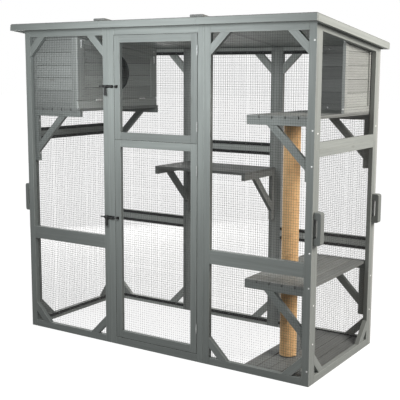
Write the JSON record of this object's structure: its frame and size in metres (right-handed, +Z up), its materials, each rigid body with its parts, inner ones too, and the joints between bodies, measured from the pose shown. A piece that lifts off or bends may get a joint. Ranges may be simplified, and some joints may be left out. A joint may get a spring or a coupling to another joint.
{
  "type": "outdoor cat enclosure",
  "caption": "Walk-in outdoor cat enclosure with framed wire walls, a split door, a sloping roof, shelves, a condo with a round hole and a scratching post.",
  "frame": {"origin": "on the ground, under the middle of the bounding box", "axes": "+X to the right seen from the front, +Y to the back, +Z up; the doors are in the -Y wall"},
  "size_m": [1.8766, 0.906, 1.7573],
  "materials": {
    "grey_boards": "grey-green painted softwood",
    "shaded_boards": "grey-green painted softwood",
    "wire": "dark coated welded wire",
    "zinc": "zinc plated steel",
    "black_metal": "black coated steel",
    "felt": "mineral roofing felt",
    "sisal": "wound sisal rope",
    "card": "pressed card tube"
  },
  "bodies": {
    "house": {"front_left_panel": "grey_boards", "front_right_panel": "grey_boards", "front_door_frame": "grey_boards", "back_left_panel": "shaded_boards", "back_middle_panel": "shaded_boards", "back_right_panel": "shaded_boards", "left_lower_frame": "grey_boards", "left_upper_frame": "grey_boards", "right_lower_frame": "grey_boards", "right_upper_frame": "grey_boards", "net_front_left": "wire", "net_front_right": "wire", "net_back": "wire", "net_left": "wire", "net_right": "wire", "post_hinge_leaves": "zinc", "hinge_pins": "zinc", "latch_plates": "black_metal", "roof_left": "grey_boards", "roof_middle": "grey_boards", "roof_right": "grey_boards", "roof_sheets": "felt", "roof_battens": "felt", "upper_left_shelf": "shaded_boards", "upper_right_shelf": "shaded_boards", "lower_right_shelf": "shaded_boards", "middle_shelf": "shaded_boards", "floor_deck": "shaded_boards", "upper_left_brackets": "grey_boards", "upper_right_brackets": "grey_boards", "lower_right_brackets": "grey_boards", "middle_shelf_brackets": "shaded_boards", "condo_front_screen": "grey_boards", "condo_back_screen": "grey_boards", "condo_outer_screen": "grey_boards", "condo_rails": "grey_boards", "hatch_rail_fittings": "zinc", "nook_back_screen": "grey_boards", "nook_side_screen": "grey_boards", "post_sisal": "sisal", "post_cores": "card", "carry_handles": "grey_boards"},
    "lower_door": {"lower_door": "grey_boards", "net_lower_door": "wire", "lower_door_leaves": "zinc", "lower_latch_catch": "black_metal"},
    "upper_door": {"upper_door": "grey_boards", "net_upper_door": "wire", "upper_door_leaves": "zinc", "upper_latch_catch": "black_metal"},
    "lower_bolt": {"lower_latch_bolt": "black_metal"},
    "upper_bolt": {"upper_latch_bolt": "black_metal"},
    "lower_lever": {"lower_latch_lever": "black_metal"},
    "upper_lever": {"upper_latch_lever": "black_metal"},
    "condo_hatch": {"condo_hatch": "grey_boards", "hatch_fittings": "zinc"},
    "front_hook": {"front_hook": "zinc"},
    "rear_hook": {"rear_hook": "zinc"}
  },
  "joints": [
    {"name": "lower_door_swing", "type": "hinge", "parent": "house", "child": "lower_door", "pos_m": [0.2624, -0.3778, 0.587], "axis": [0, 0, 1], "range_deg": [0, 165]},
    {"name": "upper_door_swing", "type": "hinge", "parent": "house", "child": "upper_door", "pos_m": [0.2624, -0.3778, 1.398], "axis": [0, 0, 1], "range_deg": [0, 165]},
    {"name": "lower_bolt_slide", "type": "slide", "parent": "house", "child": "lower_bolt", "axis": [1, 0, 0], "range_m": [0, 0.025]},
    {"name": "upper_bolt_slide", "type": "slide", "parent": "house", "child": "upper_bolt", "axis": [1, 0, 0], "range_m": [0, 0.025]},
    {"name": "lower_lever_turn", "type": "hinge", "parent": "lower_bolt", "child": "lower_lever", "pos_m": [-0.3135, -0.3831, 0.707], "axis": [-1, 0, 0], "range_deg": [0, 90]},
    {"name": "upper_lever_turn", "type": "hinge", "parent": "upper_bolt", "child": "upper_lever", "pos_m": [-0.3135, -0.3831, 1.408], "axis": [-1, 0, 0], "range_deg": [0, 90]},
    {"name": "hatch_drop", "type": "hinge", "parent": "house", "child": "condo_hatch", "pos_m": [-0.5336, 0.02, 1.32775], "axis": [0, 1, 0], "range_deg": [0, 140]},
    {"name": "front_hook_turn", "type": "hinge", "parent": "condo_hatch", "child": "front_hook", "pos_m": [-0.53725, -0.3161, 1.65138], "axis": [1, 0, 0], "range_deg": [0, 180]},
    {"name": "rear_hook_turn", "type": "hinge", "parent": "condo_hatch", "child": "rear_hook", "pos_m": [-0.53725, 0.3561, 1.57572], "axis": [-1, 0, 0], "range_deg": [0, 180]}
  ]
}
